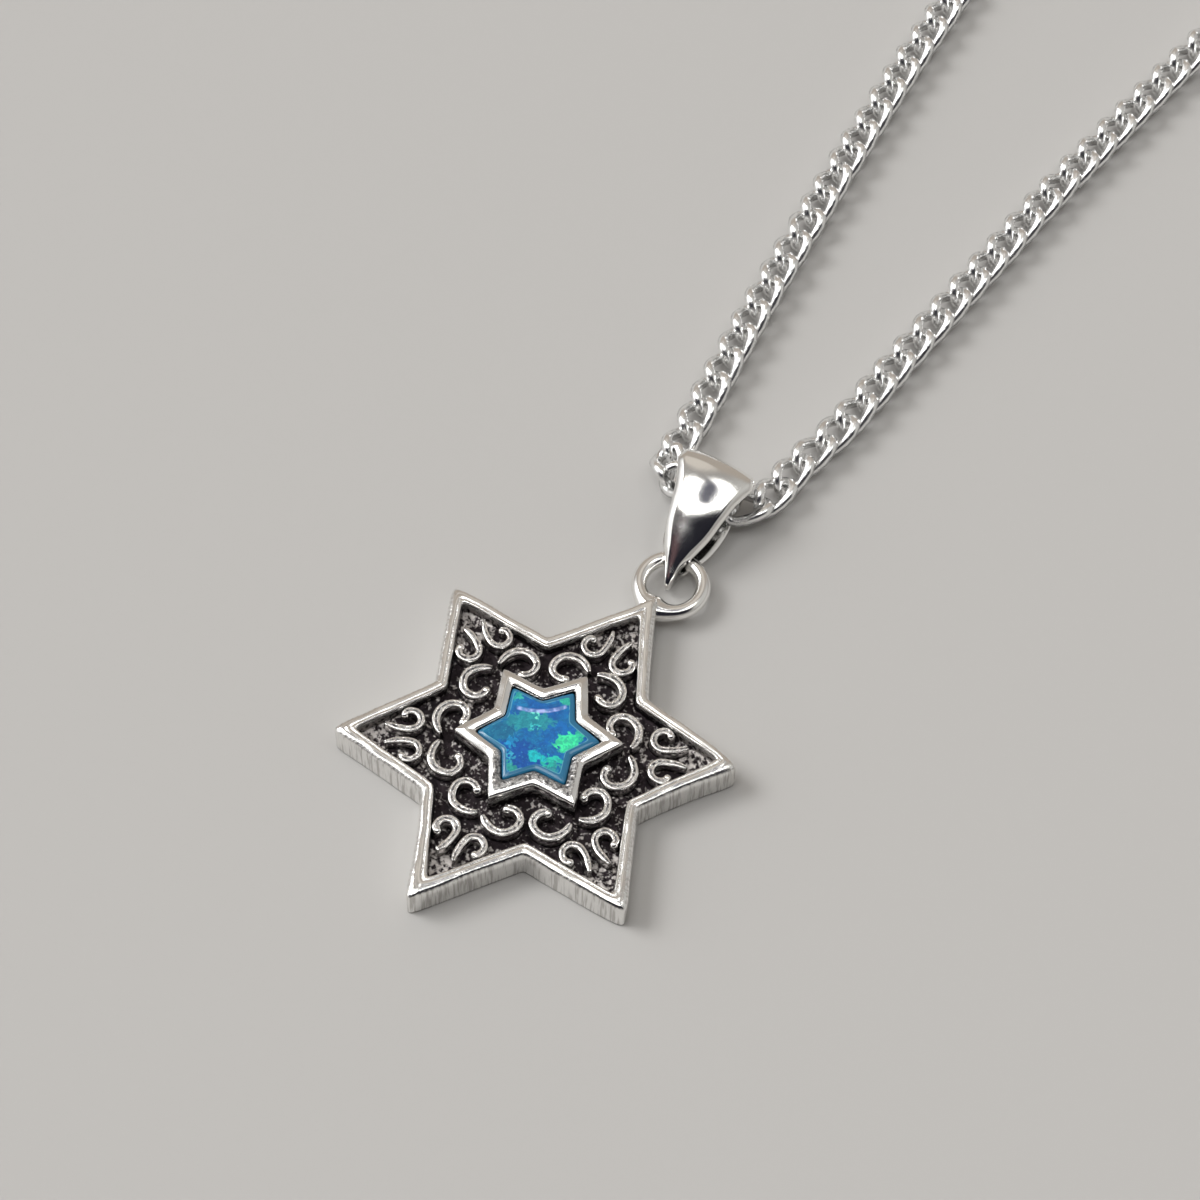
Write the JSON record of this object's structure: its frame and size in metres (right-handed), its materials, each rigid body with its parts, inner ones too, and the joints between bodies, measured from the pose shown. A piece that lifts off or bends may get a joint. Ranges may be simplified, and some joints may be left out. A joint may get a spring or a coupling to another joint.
{
  "type": "six-pointed star pendant on its chain",
  "caption": "Cast silver six-pointed star pendant with scrollwork and an inlaid opal star, hung by a folded bail on a closed curb chain.",
  "frame": {"origin": "centre of the star, on its flat back", "axes": "+Y towards the arm that carries the ring, +Z out of the star's face, +X to the right"},
  "size_m": [0.0902, 0.2192, 0.0038],
  "materials": {
    "cast_silver": "polished silver, with a grainy recess darkened by oxidation",
    "bright_silver": "bright polished silver",
    "chain_silver": "polished silver links",
    "opal": "polished blue opal with green and turquoise flashes"
  },
  "bodies": {
    "root": {"star": "cast_silver", "opal": "opal", "bail": "bright_silver", "chain": "chain_silver", "clasp": "bright_silver"}
  },
  "joints": []
}
